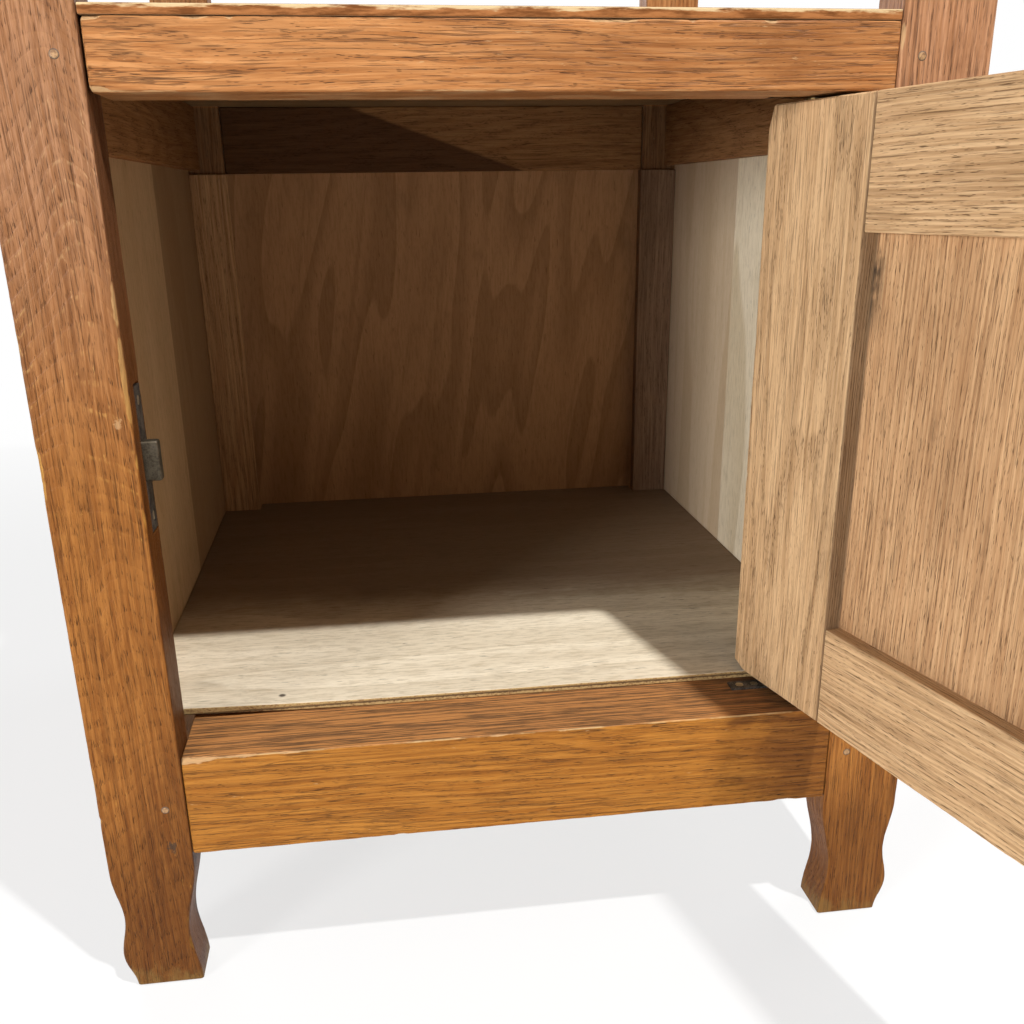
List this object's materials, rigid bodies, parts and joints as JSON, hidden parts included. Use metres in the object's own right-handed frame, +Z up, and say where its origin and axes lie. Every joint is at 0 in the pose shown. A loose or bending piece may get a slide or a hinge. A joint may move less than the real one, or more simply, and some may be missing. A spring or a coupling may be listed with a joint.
{
  "type": "icebox cabinet",
  "caption": "Oak icebox cabinet on shaped feet: a cupboard with a pivot-hung frame-and-panel door and a lever latch, under an open bay with corner posts and a top board.",
  "frame": {"origin": "on the floor under the middle of the cabinet's plan, midway between its four posts", "axes": "+Z up, -Y out of the front where the door opens, +X to the right as seen from the front (the door's hinge side)"},
  "size_m": [0.5578, 0.8756, 1],
  "materials": {
    "varnished_oak": "old golden-brown varnish, worn on the edges, open grain",
    "raw_oak": "unfinished oak, dry, with dark pores",
    "plywood": "unfinished thin plywood",
    "aged_brass": "dull brown brass, bright where it rubs",
    "dark_steel": "dark oxidised steel"
  },
  "bodies": {
    "cabinet": {"back_bottom_rail": "varnished_oak", "back_middle_rail": "varnished_oak", "back_panel": "plywood", "back_upper_rail": "varnished_oak", "catch_plate": "dark_steel", "catch_screw_1": "aged_brass", "catch_screw_2": "aged_brass", "catch_tongue": "aged_brass", "floor_board": "plywood", "front_bottom_left_peg": "raw_oak", "front_bottom_rail": "varnished_oak", "front_bottom_right_peg": "raw_oak", "front_header_rail": "varnished_oak", "front_left_post": "varnished_oak", "front_middle_left_peg": "raw_oak", "front_middle_right_peg": "raw_oak", "front_right_post": "varnished_oak", "front_upper_rail": "varnished_oak", "header_hinge_leaf": "dark_steel", "header_hinge_leaf_screw_1": "aged_brass", "header_hinge_leaf_screw_2": "aged_brass", "left_bottom_rail": "varnished_oak", "left_middle_rail": "varnished_oak", "left_side_panel": "plywood", "left_upper_rail": "varnished_oak", "lower_hinge_pin": "dark_steel", "lower_hinge_washer": "aged_brass", "rear_left_cleat": "raw_oak", "rear_left_post": "varnished_oak", "rear_right_cleat": "raw_oak", "rear_right_post": "varnished_oak", "right_bottom_rail": "varnished_oak", "right_middle_rail": "varnished_oak", "right_side_panel": "plywood", "right_upper_rail": "varnished_oak", "shelf_board": "plywood", "sill_hinge_leaf": "dark_steel", "sill_hinge_leaf_screw_1": "aged_brass", "sill_hinge_leaf_screw_2": "aged_brass", "top_board": "varnished_oak", "upper_hinge_pin": "dark_steel", "upper_hinge_washer": "aged_brass"},
    "door": {"door_bottom_rail": "raw_oak", "door_hinge_stile": "raw_oak", "door_latch_stile": "raw_oak", "door_panel": "raw_oak", "door_top_rail": "raw_oak", "latch_nut": "aged_brass", "latch_plate": "aged_brass", "latch_screw_1": "aged_brass", "latch_screw_2": "aged_brass", "latch_spindle": "aged_brass", "lower_door_hinge_leaf": "dark_steel", "lower_door_hinge_leaf_screw_1": "aged_brass", "lower_door_hinge_leaf_screw_2": "aged_brass", "upper_door_hinge_leaf": "dark_steel", "upper_door_hinge_leaf_screw_1": "aged_brass", "upper_door_hinge_leaf_screw_2": "aged_brass"},
    "latch": {"latch_lever": "aged_brass"}
  },
  "joints": [
    {"name": "door_hinge", "type": "hinge", "parent": "cabinet", "child": "door", "pos_m": [0.1725, -0.2313, 0.336], "axis": [0, 0, 1], "range_deg": [-103.7, 7]},
    {"name": "latch_turn", "type": "hinge", "parent": "door", "child": "latch", "pos_m": [0.25362, -0.56406, 0.332], "axis": [0.9715, 0.2368, 0], "range_deg": [0, 90]}
  ]
}
